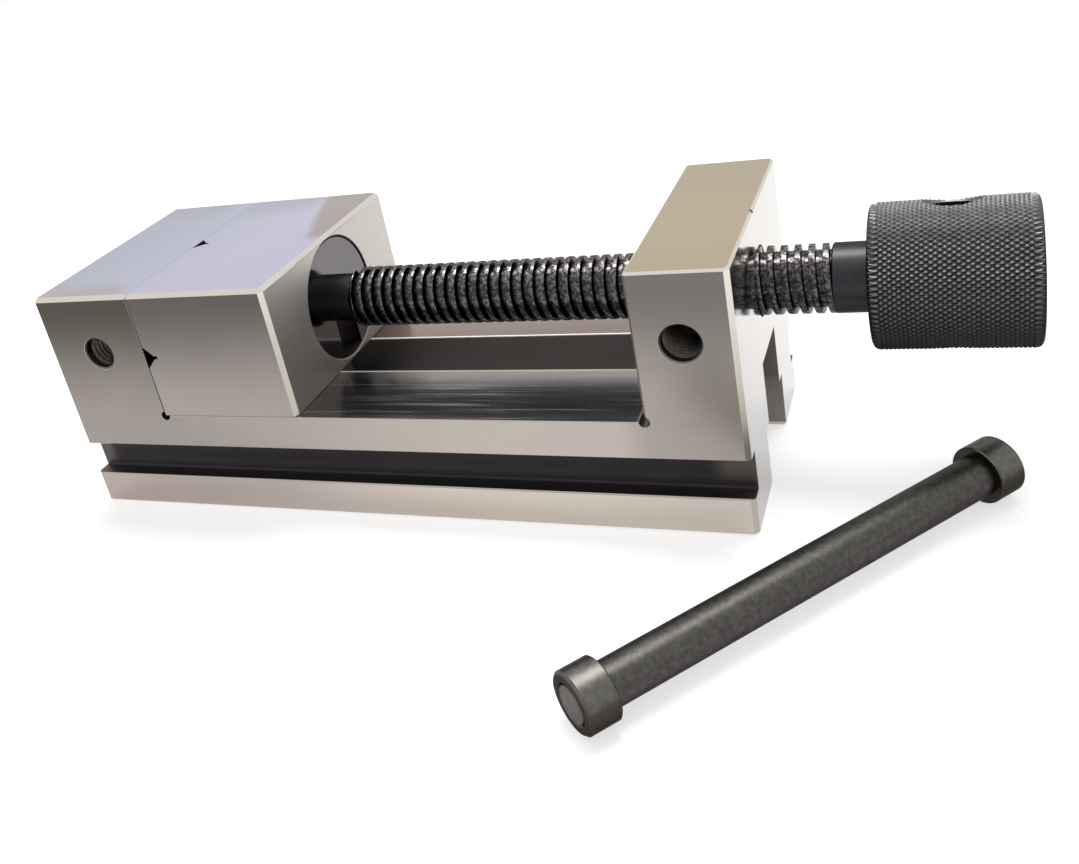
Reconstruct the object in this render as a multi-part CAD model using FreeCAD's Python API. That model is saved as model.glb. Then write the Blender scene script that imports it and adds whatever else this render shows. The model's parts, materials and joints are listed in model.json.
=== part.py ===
import FreeCAD, Part
import math
import os
from FreeCAD import Vector

# Precision machine vise, millimetres.
# Origin: on the underside, on the centre line, in the plane of the fixed jaw's clamping face.
# +X runs along the ways towards the knob, +Y to the far side, +Z up.

# Vise body: base, fixed jaw and upright ground from one block
vise_width = 63.0
fixed_jaw_length = 29.2
upright_length = 20.2
way_height = 26.5
jaw_height = 32.8
body_chamfer = 1.0
upright_chamfer = 0.5
way_edge_chamfer = 0.15
foot_chamfer = 0.6
relief_diameter = 2.4

# Clamp grooves along both long sides
groove_floor_height = 8.8
groove_height = 8.9
groove_depth = 4.3
groove_lip_chamfer = 0.3

# Stepped channel: a narrow slot between the ways over a wider channel
slot_width = 17.6
slot_overcut = 1.0
channel_width = 24.9
channel_height = 13.6
channel_start = 1.2
cutter_radius = 4.0

# Tapped holes in the sides of the fixed jaw and the upright
side_hole_height = 44.0
side_hole_diameter = 8.0
side_hole_mouth_diameter = 8.8
side_hole_depth = 14.0
fixed_jaw_hole_setback = 15.3
upright_hole_setback = 9.5

# Moving jaw
moving_jaw_length = 38.5
jaw_travel = 82.0
closed_gap = 0.05
open_gap = 0.15
way_film = 0.03
jaw_chamfer = 1.0
seam_chamfer = 0.15
v_groove_width = 6.0
v_groove_depth = 2.7
v_relief_width = 0.8
v_relief_depth = 3.6

# Round pocket in the moving jaw and the horseshoe retainer plate in it
pocket_diameter = 30.8
pocket_depth = 5.4
pocket_lip_chamfer = 0.3
plate_rim_gap = 0.3
plate_thickness = 5.0
retainer_screw_diameter = 4.0
retainer_screw_recess = 8.1
retainer_socket_size = 2.0
retainer_dimple_depth = 0.8

# Lead screw
screw_height = 42.7
thread_diameter = 14.6
thread_length = 111.8
neck_diameter = 11.8
neck_length = 5.6
groove_diameter = 9.0
groove_side_gap = 0.2
slot_side_gap = 0.15
head_length = 5.0
journal_length = 7.1
tail_diameter = 11.0
tail_depth_in_knob = 9.5
thread_end_chamfer = 1.2
head_bore_gap = 1.0

# Thrust button in the tip of the screw and the hardened pad it pushes on
button_diameter = 6.0
button_length = 4.0
button_projection = 1.2
button_gap = 0.05
pad_thickness = 3.0

# Nut bush in the upright
nut_diameter = 21.0
nut_end_wall = 4.0
running_clearance = 0.05
exit_hole_clearance = 0.35
nut_screw_diameter = 4.0
nut_screw_length = 3.6
nut_screw_socket_size = 2.0
nut_screw_setback = 12.0

# Knob
knob_diameter = 29.8
knob_length = 30.5
knob_chamfer = 1.5
knob_pin_diameter = 3.0
knob_pin_length = 20.0
cross_hole_turn = 14.0

# Tommy bar, lying on the table beside the vise
bar_diameter = 8.5
bar_length = 103.0
bar_hole_clearance = 0.25
cap_diameter = 11.9
cap_length = 6.5
cap_chamfer = 0.5
rivet_diameter = 7.2
bar_near_end_x = 118.4
bar_near_end_y = -89.1
bar_heading = 49.5

# Guide key in the slot, hold-down plate in the channel, and what joins them to the jaw
key_start = 5.0
key_length = 27.0
key_side_clearance = 0.03
key_seat_depth = 2.0
key_corner = 2.0
key_underside_gap = 0.1
hold_plate_start = 3.0
hold_plate_length = 32.0
hold_plate_thickness = 9.0
hold_plate_side_gap = 0.4
hold_plate_top_gap = 0.05
hold_plate_corner = 2.0
hold_screw_diameter = 5.0
hold_screw_length = 25.0
hold_screw_head_diameter = 8.5
hold_screw_head_height = 5.0
hold_screw_socket_size = 4.0
hold_screw_socket_depth = 2.5
hold_screw_first = 5.5
hold_screw_spacing = 16.0
counterbore_diameter = 11.0
counterbore_depth = 5.6
screw_hole_clearance = 0.25
tapped_hole_gap = 0.02
seat_gap = 0.01

# Worked out from the sizes above
half_width = vise_width / 2
top_height = way_height + jaw_height
jaw_front = closed_gap
jaw_back = jaw_front + moving_jaw_length
upright_front = jaw_back + jaw_travel + open_gap
upright_back = upright_front + upright_length
pocket_floor = jaw_back - pocket_depth
plate_face = pocket_floor + plate_thickness
groove_end = plate_face
groove_begin = pocket_floor - groove_side_gap
head_begin = groove_begin - head_length
thread_begin = plate_face + neck_length
thread_end = thread_begin + thread_length
knob_front = thread_end + journal_length
knob_back = knob_front + knob_length
knob_middle = (knob_front + knob_back) / 2
knob_pin_place = knob_front + tail_depth_in_knob / 2
hole_diameter = bar_diameter + 2 * bar_hole_clearance
head_bore = neck_diameter + 2 * head_bore_gap
pad_face = head_begin - button_projection - button_gap
hold_plate_top = channel_height - hold_plate_top_gap
hold_plate_bottom = hold_plate_top - hold_plate_thickness
hold_screw_seat = hold_plate_bottom + counterbore_depth
key_bottom = hold_plate_top + key_underside_gap
key_top = way_height + way_film + key_seat_depth
hold_screw_places = [key_start + hold_screw_first + i * hold_screw_spacing for i in range(2)]
screw_axis = Vector(0, 0, screw_height)
along_x = Vector(1, 0, 0)
overrun = 5.0


def box(x_range, y_range, z_range):
    """A block between two values on each axis."""
    low = Vector(x_range[0], y_range[0], z_range[0])
    return Part.makeBox(x_range[1] - x_range[0], y_range[1] - y_range[0], z_range[1] - z_range[0], low)


def rod(start, direction, diameter, length):
    """A cylinder from a start point along a direction."""
    return Part.makeCylinder(diameter / 2, length, start, direction)


def cone(start, direction, diameter_a, diameter_b, length):
    """A cone frustum from a start point along a direction."""
    return Part.makeCone(diameter_a / 2, diameter_b / 2, length, start, direction)


def on_axis(x):
    """A point on the lead screw's axis."""
    return Vector(x, 0, screw_height)


def prism(points, sweep):
    """A closed outline of (x, y, z) points swept along a vector."""
    corners = [Vector(*point) for point in points]
    return Part.Face(Part.makePolygon(corners + corners[:1])).extrude(sweep)


def turned(profile, start, direction):
    """A solid turned from (distance along the axis, radius) pairs."""
    corners = [Vector(radius, 0, distance) for distance, radius in profile]
    face = Part.Face(Part.makePolygon(corners + corners[:1]))
    solid = face.revolve(Vector(0, 0, 0), Vector(0, 0, 1), 360)
    solid.Placement = FreeCAD.Placement(start, FreeCAD.Rotation(Vector(0, 0, 1), direction))
    return solid


def hexagon_socket(start, direction, across_flats, depth):
    """The hexagonal recess of a socket screw, to be cut out."""
    radius = across_flats / math.sqrt(3)
    corners = []
    for i in range(6):
        angle = math.radians(60 * i)
        corners.append(Vector(radius * math.cos(angle), radius * math.sin(angle), 0))
    solid = Part.Face(Part.makePolygon(corners + corners[:1])).extrude(Vector(0, 0, depth))
    solid.Placement = FreeCAD.Placement(start, FreeCAD.Rotation(Vector(0, 0, 1), direction))
    return solid


def chamfer_where(shape, size, wanted):
    """Break the edges that a test on their bounding box picks."""
    edges = [edge for edge in shape.Edges if wanted(edge.BoundBox)]
    return shape.makeChamfer(size, edges)


def near(a, b):
    """Two coordinates are the same place."""
    return abs(a - b) < 1e-4


def rounded_slot(x_range, width, z_range):
    """A milled slot along X, its first end rounded at the corners by the cutter."""
    block = box(x_range, (-width / 2, width / 2), z_range)
    corners = [edge for edge in block.Edges
               if near(edge.BoundBox.XMax, x_range[0]) and near(edge.BoundBox.YMin, edge.BoundBox.YMax)]
    return block.makeFillet(cutter_radius, corners)


def body_blank():
    """The L-over-L side outline of base, fixed jaw and upright, with its edges broken."""
    left = -fixed_jaw_length
    outline = [(left, 0), (upright_back, 0), (upright_back, top_height), (upright_front, top_height),
               (upright_front, way_height), (0, way_height), (0, top_height), (left, top_height)]
    blank = prism([(x, -half_width, z) for x, z in outline], Vector(0, vise_width, 0))

    def foot(b):
        return near(b.ZMax, 0)

    def way_edge(b):
        return near(b.ZMin, way_height) and near(b.ZMax, way_height) and b.XLength > b.YLength

    def seam(b):
        return near(b.XMin, 0) and near(b.XMax, 0) and not near(b.ZMax, way_height)

    def inner_corner(b):
        return near(b.ZMin, way_height) and near(b.ZMax, way_height) and b.YLength > b.XLength

    def upright_edge(b):
        top = near(b.ZMin, top_height) and b.XMax > 0
        inner = near(b.XMin, upright_front) and near(b.XMax, upright_front)
        return (top or inner) and not (seam(b) or inner_corner(b))

    def outer(b):
        return not (foot(b) or way_edge(b) or seam(b) or inner_corner(b) or upright_edge(b))

    blank = chamfer_where(blank, body_chamfer, outer)
    blank = chamfer_where(blank, upright_chamfer, upright_edge)
    blank = chamfer_where(blank, way_edge_chamfer, lambda b: way_edge(b) or seam(b))
    return chamfer_where(blank, foot_chamfer, foot)


def clamp_groove(side):
    """The clamp groove of one long side, its lips broken, to be cut out."""
    face = side * half_width
    inner = side * (half_width - groove_depth)
    lip = side * (half_width - groove_lip_chamfer)
    proud = side * (half_width + overrun)
    low = groove_floor_height
    high = groove_floor_height + groove_height
    flare = groove_lip_chamfer
    start = -fixed_jaw_length - overrun
    outline = [(start, inner, low), (start, lip, low), (start, face, low - flare),
               (start, proud, low - flare), (start, proud, high + flare), (start, face, high + flare),
               (start, lip, high), (start, inner, high)]
    return prism(outline, Vector(upright_back - start + overrun, 0, 0))


def side_hole(x, side):
    """A tapped hole of one side at its thread diameter, with its broken mouth, to be cut out."""
    inward = Vector(0, -side, 0)
    mouth = Vector(x, side * half_width, side_hole_height)
    flare = (side_hole_mouth_diameter - side_hole_diameter) / 2
    hole = rod(mouth, inward, side_hole_diameter, side_hole_depth)
    return hole.fuse(cone(mouth, inward, side_hole_mouth_diameter, side_hole_diameter, flare))


def nut_seat():
    """The stepped bore of the upright that takes the nut bush and lets the screw out, to be cut out."""
    through = rod(on_axis(upright_front), along_x, thread_diameter + 2 * exit_hole_clearance,
                  upright_length + overrun)
    seat = rod(on_axis(upright_front - overrun), along_x, nut_diameter,
               overrun + upright_length - nut_end_wall)
    return through.fuse(seat)


def make_vise_body():
    """Base, fixed jaw and upright in one piece."""
    body = body_blank()
    end = upright_back + overrun
    cuts = [clamp_groove(-1), clamp_groove(1)]
    cuts.append(rounded_slot((channel_start, end), slot_width, (-overrun, way_height + slot_overcut)))
    cuts.append(rounded_slot((channel_start, end), channel_width, (-overrun, channel_height)))
    for x in (0, upright_front):
        corner = Vector(x, -half_width - overrun, way_height)
        cuts.append(rod(corner, Vector(0, 1, 0), relief_diameter, vise_width + 2 * overrun))
    for x in (-fixed_jaw_length + fixed_jaw_hole_setback, upright_front + upright_hole_setback):
        cuts.append(side_hole(x, -1))
        cuts.append(side_hole(x, 1))
    cuts.append(nut_seat())
    grub_start = Vector(upright_front + nut_screw_setback, 0, way_height)
    grub_diameter = nut_screw_diameter + 2 * tapped_hole_gap
    cuts.append(rod(grub_start, Vector(0, 0, 1), grub_diameter, screw_height - way_height))
    return body.cut(cuts)


def make_screw_nut():
    """Nut bush pressed into the upright from its inner face, against the end wall."""
    length = upright_length - nut_end_wall
    bush = rod(on_axis(upright_front), along_x, nut_diameter, length)
    return bush.cut(rod(on_axis(upright_front), along_x, thread_diameter + 2 * running_clearance, length))


def grub_screw(start, direction, diameter, length, socket_size):
    """A socket set screw whose socket opens at its start."""
    screw = rod(start, direction, diameter, length)
    return screw.cut(hexagon_socket(start, direction, socket_size, length / 2))


def make_nut_grub_screw():
    """Set screw that locks the nut bush, reached from the slot below."""
    tip = screw_height - nut_diameter / 2
    start = Vector(upright_front + nut_screw_setback, 0, tip - nut_screw_length)
    return grub_screw(start, Vector(0, 0, 1), nut_screw_diameter, nut_screw_length,
                      nut_screw_socket_size)


def v_groove(upright):
    """One V groove of the clamping face with the relief slot at its root, to be cut out."""
    half = v_groove_width / 2
    reach = half_width + jaw_height
    outline = [(-overrun, -half), (0, -half), (v_groove_depth, -v_relief_width / 2),
               (v_relief_depth, -v_relief_width / 2), (v_relief_depth, v_relief_width / 2),
               (v_groove_depth, v_relief_width / 2), (0, half), (-overrun, half)]
    if upright:
        points = [(jaw_front + depth, across, screw_height - reach) for depth, across in outline]
        return prism(points, Vector(0, 0, 2 * reach))
    points = [(jaw_front + depth, -reach, screw_height + across) for depth, across in outline]
    return prism(points, Vector(0, 2 * reach, 0))


def jaw_blank():
    """The moving jaw's block with its outer edges broken."""
    foot = way_height + way_film
    block = box((jaw_front, jaw_back), (-half_width, half_width), (foot, top_height))

    def outer(b):
        top = near(b.ZMin, top_height) and not near(b.XMax, jaw_front)
        back = near(b.XMin, jaw_back) and not near(b.ZMax, foot)
        return top or back

    def seam(b):
        return near(b.XMax, jaw_front) or near(b.ZMax, foot)

    block = chamfer_where(block, jaw_chamfer, outer)
    return chamfer_where(block, seam_chamfer, seam)


def retainer_screw_hole():
    """Cross hole from the far side to the pocket for the retainer's set screw, to be cut out."""
    start = Vector(plate_face - plate_thickness / 2, half_width + overrun, screw_height)
    return rod(start, Vector(0, -1, 0), retainer_screw_diameter + 2 * tapped_hole_gap,
               half_width + overrun - neck_diameter / 2 - plate_thickness)


def key_block(gap):
    """The guide key's outline grown by a gap all round, from its underside to its top."""
    width = slot_width - 2 * key_side_clearance
    block = box((key_start - gap, key_start + key_length + gap), (-width / 2 - gap, width / 2 + gap),
                (key_bottom, key_top))
    uprights = [edge for edge in block.Edges if edge.BoundBox.ZLength > key_top - key_bottom - 1]
    return block.makeChamfer(key_corner, uprights)


def make_moving_jaw():
    """Sliding jaw with the V grooves, the retainer pocket, the head bore and the key's seat."""
    jaw = jaw_blank()
    flare = pocket_diameter + 2 * pocket_lip_chamfer
    cuts = [v_groove(True), v_groove(False), retainer_screw_hole(), key_block(seat_gap)]
    cuts.append(rod(on_axis(pocket_floor), along_x, pocket_diameter, pocket_depth + overrun))
    cuts.append(cone(on_axis(jaw_back - pocket_lip_chamfer), along_x, pocket_diameter, flare,
                     pocket_lip_chamfer))
    bore_floor = pad_face - pad_thickness
    cuts.append(rod(on_axis(bore_floor), along_x, head_bore, pocket_floor - bore_floor + overrun))
    for x in hold_screw_places:
        depth = hold_screw_seat + hold_screw_length + tapped_hole_gap - way_height
        cuts.append(rod(Vector(x, 0, way_height), Vector(0, 0, 1),
                        hold_screw_diameter + 2 * tapped_hole_gap, depth))
    return jaw.cut(cuts)


def make_jaw_key():
    """Guide key that runs in the slot and seats in the jaw's underside."""
    key = key_block(0)
    for x in hold_screw_places:
        key = key.cut(rod(Vector(x, 0, key_bottom - overrun), Vector(0, 0, 1),
                          hold_screw_diameter + 2 * screw_hole_clearance, key_top - key_bottom + 2 * overrun))
    return key


def make_hold_down_plate():
    """Plate in the wide channel that keeps the jaw down on the ways."""
    half = channel_width / 2 - hold_plate_side_gap
    plate = box((hold_plate_start, hold_plate_start + hold_plate_length), (-half, half),
                (hold_plate_bottom, hold_plate_top))
    uprights = [edge for edge in plate.Edges if edge.BoundBox.ZLength > hold_plate_thickness - 1]
    plate = plate.makeChamfer(hold_plate_corner, uprights)
    for x in hold_screw_places:
        foot = Vector(x, 0, hold_plate_bottom - overrun)
        plate = plate.cut(rod(foot, Vector(0, 0, 1), hold_screw_diameter + 2 * screw_hole_clearance,
                              hold_plate_thickness + 2 * overrun))
        plate = plate.cut(rod(foot, Vector(0, 0, 1), counterbore_diameter, counterbore_depth + overrun))
    return plate


def cap_screw(x):
    """One socket cap screw, head down, its thread at the major diameter."""
    seat = Vector(x, 0, hold_screw_seat)
    down = Vector(0, 0, -1)
    head = rod(seat, down, hold_screw_head_diameter, hold_screw_head_height)
    shank = rod(seat, Vector(0, 0, 1), hold_screw_diameter, hold_screw_length)
    face = Vector(x, 0, hold_screw_seat - hold_screw_head_height)
    socket = hexagon_socket(face, Vector(0, 0, 1), hold_screw_socket_size, hold_screw_socket_depth)
    return head.fuse(shank).cut(socket).removeSplitter()


def make_hold_down_screws():
    """Cap screws through plate and key into the jaw."""
    return Part.makeCompound([cap_screw(x) for x in hold_screw_places])


def make_retainer_plate():
    """Horseshoe plate whose slot opens downwards over the groove of the screw."""
    outer = pocket_diameter / 2 - plate_rim_gap
    plate = rod(on_axis(pocket_floor), along_x, 2 * outer, plate_thickness)
    slot = groove_diameter / 2 + slot_side_gap
    back = pocket_floor - overrun
    front = plate_face + overrun
    plate = plate.cut(rod(on_axis(back), along_x, 2 * slot, front - back))
    plate = plate.cut(box((back, front), (-slot, slot), (screw_height - pocket_diameter, screw_height)))
    dimple = Vector(plate_face - plate_thickness / 2, outer + 1, screw_height)
    return plate.cut(rod(dimple, Vector(0, -1, 0), retainer_screw_diameter + 2 * tapped_hole_gap,
                         1 + retainer_dimple_depth))


def make_retainer_grub_screw():
    """Set screw from the far side into the rim of the retainer plate."""
    tip = pocket_diameter / 2 - plate_rim_gap - retainer_dimple_depth
    outer_end = half_width - retainer_screw_recess
    start = Vector(plate_face - plate_thickness / 2, outer_end, screw_height)
    return grub_screw(start, Vector(0, -1, 0), retainer_screw_diameter, outer_end - tip,
                      retainer_socket_size)


def make_thrust_pad():
    """Hardened pad at the bottom of the head bore."""
    return rod(on_axis(pad_face - pad_thickness), along_x, head_bore - 2 * seat_gap, pad_thickness)


def make_lead_screw():
    """Lead screw: head, retaining groove, neck, thread at its major diameter, journal and tail."""
    head = neck_diameter / 2
    thread = thread_diameter / 2
    tail = tail_diameter / 2
    tail_end = knob_front + tail_depth_in_knob
    profile = [(head_begin, 0), (head_begin, head), (groove_begin, head),
               (groove_begin, groove_diameter / 2), (groove_end, groove_diameter / 2),
               (groove_end, head), (thread_begin, head), (thread_begin + thread_end_chamfer, thread),
               (knob_front, thread), (knob_front, tail), (tail_end, tail), (tail_end, 0)]
    screw = turned(profile, Vector(0, 0, screw_height), along_x)
    seat_depth = button_length - button_projection
    screw = screw.cut(rod(on_axis(head_begin), along_x, button_diameter + 2 * seat_gap, seat_depth))
    return screw.cut(knob_pin_body(seat_gap))


def make_thrust_button():
    """Hardened button seated in the tip of the lead screw."""
    return rod(on_axis(head_begin - button_projection), along_x, button_diameter, button_length)


def cross_hole():
    """Through hole of the knob for the tommy bar, turned from upright to the far side, to be cut out."""
    turn = math.radians(cross_hole_turn)
    direction = Vector(0, math.sin(turn), math.cos(turn))
    return rod(on_axis(knob_middle) - direction * knob_diameter, direction, hole_diameter,
               2 * knob_diameter)


def knob_pin_body(gap):
    """The blind cross pin of the knob, driven in from below, grown by a gap."""
    start = Vector(knob_pin_place, 0, screw_height - knob_diameter / 2)
    return rod(start, Vector(0, 0, 1), knob_pin_diameter + 2 * gap, knob_pin_length + gap)


def make_knob():
    """Knob with chamfered ends, blind bore for the screw's tail and cross hole."""
    outer = knob_diameter / 2
    profile = [(0, 0), (0, outer - knob_chamfer), (knob_chamfer, outer),
               (knob_length - knob_chamfer, outer), (knob_length, outer - knob_chamfer), (knob_length, 0)]
    knob = turned(profile, on_axis(knob_front), along_x)
    bore = rod(on_axis(knob_front), along_x, tail_diameter + 2 * seat_gap, tail_depth_in_knob + seat_gap)
    return knob.cut([bore, cross_hole(), knob_pin_body(seat_gap)])


def make_knob_pin():
    """Pin that fixes the knob to the lead screw, its outer end dressed to the knob's curve."""
    outline = rod(on_axis(knob_front), along_x, knob_diameter, knob_length)
    return knob_pin_body(0).common(outline)


def bar_placement():
    """Where the tommy bar lies: its near end's centre and its heading on the table."""
    heading = math.radians(bar_heading)
    start = Vector(bar_near_end_x, bar_near_end_y, cap_diameter / 2)
    return start, Vector(math.cos(heading), math.sin(heading), 0)


def make_tommy_bar():
    """Rod with a stepped rivet end at each end."""
    body = bar_diameter / 2
    rivet = rivet_diameter / 2
    profile = [(0, 0), (0, rivet), (cap_length, rivet), (cap_length, body),
               (bar_length - cap_length, body), (bar_length - cap_length, rivet), (bar_length, rivet),
               (bar_length, 0)]
    start, heading = bar_placement()
    return turned(profile, start, heading)


def make_tommy_bar_cap(far):
    """Stop ring riveted on one end of the tommy bar, its outer edge broken."""
    outer = cap_diameter / 2
    bore = rivet_diameter / 2 + seat_gap
    profile = [(0, bore), (0, outer - cap_chamfer), (cap_chamfer, outer), (cap_length, outer),
               (cap_length, bore)]
    start, heading = bar_placement()
    if far:
        return turned(profile, start + heading * bar_length, heading * -1)
    return turned(profile, start, heading)


pieces = {
    "vise_body": make_vise_body(),
    "screw_nut": make_screw_nut(),
    "nut_grub_screw": make_nut_grub_screw(),
    "moving_jaw": make_moving_jaw(),
    "jaw_key": make_jaw_key(),
    "hold_down_plate": make_hold_down_plate(),
    "hold_down_screws": make_hold_down_screws(),
    "retainer_plate": make_retainer_plate(),
    "retainer_grub_screw": make_retainer_grub_screw(),
    "thrust_pad": make_thrust_pad(),
    "thrust_button": make_thrust_button(),
    "lead_screw": make_lead_screw(),
    "knob": make_knob(),
    "knob_pin": make_knob_pin(),
    "tommy_bar": make_tommy_bar(),
    "tommy_bar_cap_near": make_tommy_bar_cap(False),
    "tommy_bar_cap_far": make_tommy_bar_cap(True),
}

os.makedirs("parts", exist_ok=True)
for name, shape in pieces.items():
    shape.exportStep("parts/" + name + ".step")
    print(name, len(shape.Solids), shape.isValid(), round(shape.Volume, 1))
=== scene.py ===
"""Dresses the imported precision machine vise: ground blocks, oiled screw, knurled knob, tommy bar.

Lengths are in metres in the part's own frame: +X towards the knob, +Y to the far side, +Z up.
"""

import json
import logging
import math
from collections.abc import Callable, Mapping, Sequence
from dataclasses import dataclass, field, replace
from enum import Enum

import bmesh
import bpy
from mathutils import Matrix, Vector


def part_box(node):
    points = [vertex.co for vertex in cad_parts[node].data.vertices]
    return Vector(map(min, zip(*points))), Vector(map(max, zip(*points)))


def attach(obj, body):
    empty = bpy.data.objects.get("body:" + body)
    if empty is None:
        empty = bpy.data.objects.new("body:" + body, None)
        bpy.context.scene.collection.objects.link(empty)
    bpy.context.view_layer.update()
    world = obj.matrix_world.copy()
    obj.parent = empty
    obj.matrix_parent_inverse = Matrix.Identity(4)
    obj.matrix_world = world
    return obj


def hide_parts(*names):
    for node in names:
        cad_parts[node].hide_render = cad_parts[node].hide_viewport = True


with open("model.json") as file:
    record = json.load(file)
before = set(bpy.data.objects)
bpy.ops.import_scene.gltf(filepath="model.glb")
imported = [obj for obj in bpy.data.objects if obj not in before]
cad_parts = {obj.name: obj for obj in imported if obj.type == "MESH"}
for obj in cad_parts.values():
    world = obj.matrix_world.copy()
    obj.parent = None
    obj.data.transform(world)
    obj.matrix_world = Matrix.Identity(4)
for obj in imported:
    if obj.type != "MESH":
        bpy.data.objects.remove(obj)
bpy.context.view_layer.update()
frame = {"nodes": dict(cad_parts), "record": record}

LOG = logging.getLogger("vise")
MM = 0.001
FULL_TURN = 2 * math.pi
Colour = tuple[float, float, float]
Triple = tuple[float, float, float]
Pair = tuple[float, float]
Profile = Sequence[Pair]
# A zone's side that lies this far out, in mm, has no edge.
FAR = 1000.0
ALL_LOW = (-FAR, -FAR, -FAR)
ALL_HIGH = (FAR, FAR, FAR)


class Axis(Enum):
    """The three directions of the part's frame."""

    X = (1.0, 0.0, 0.0)
    Y = (0.0, 1.0, 0.0)
    Z = (0.0, 0.0, 1.0)


class Grain(Enum):
    """Grinding scratches of a zone: how many to a metre along and across them."""

    FINE = (50.0, 4200.0)
    COARSE = (22.0, 1100.0)


class Body(Enum):
    """The bodies of the vise that new pieces ride on."""

    BASE = "base"
    SCREW = "screw_and_knob"
    BAR = "loose_bar"


# Shader maths


class Wire:
    """A number that runs between shader nodes; arithmetic on it adds Math nodes."""

    def __init__(self, bench: "NodeBench", socket: bpy.types.NodeSocket) -> None:
        """Keeps the socket and the bench that its nodes are added to."""
        self.bench = bench
        self.socket = socket

    def math(self, operation: str, first: "Number", second: "Number" = 0.0) -> "Wire":
        """Adds one Math node.

        Args:
            operation: The Math node's operation.
            first: Its first value.
            second: Its second value, where the operation has one.

        Returns:
            The node's result.
        """
        node = self.bench.node("ShaderNodeMath", {"operation": operation}, {0: first, 1: second})
        return Wire(self.bench, node.outputs[0])

    def __add__(self, other: "Number") -> "Wire":
        """This plus the other."""
        return self.math("ADD", self, other)

    def __radd__(self, other: "Number") -> "Wire":
        """The other plus this."""
        return self.math("ADD", other, self)

    def __sub__(self, other: "Number") -> "Wire":
        """This less the other."""
        return self.math("SUBTRACT", self, other)

    def __rsub__(self, other: "Number") -> "Wire":
        """The other less this."""
        return self.math("SUBTRACT", other, self)

    def __mul__(self, other: "Number") -> "Wire":
        """This times the other."""
        return self.math("MULTIPLY", self, other)

    def __rmul__(self, other: "Number") -> "Wire":
        """The other times this."""
        return self.math("MULTIPLY", other, self)

    def __pow__(self, other: "Number") -> "Wire":
        """This to the power of the other."""
        return self.math("POWER", self, other)

    def __rpow__(self, other: "Number") -> "Wire":
        """The other to the power of this."""
        return self.math("POWER", other, self)

    def __abs__(self) -> "Wire":
        """This without its sign."""
        return self.math("ABSOLUTE", self)

    def ramp(self, low: float, high: float) -> "Wire":
        """A smooth step from nought to one.

        Args:
            low: Where the step starts.
            high: Where it ends; it may be below low, and then the step falls.

        Returns:
            The stepped value.
        """
        settings = {"interpolation_type": "SMOOTHSTEP"}
        node = self.bench.node("ShaderNodeMapRange", settings, {0: self, 1: low, 2: high})
        return Wire(self.bench, node.outputs[0])


Number = Wire | float
Paint = bpy.types.NodeSocket | Colour


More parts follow.
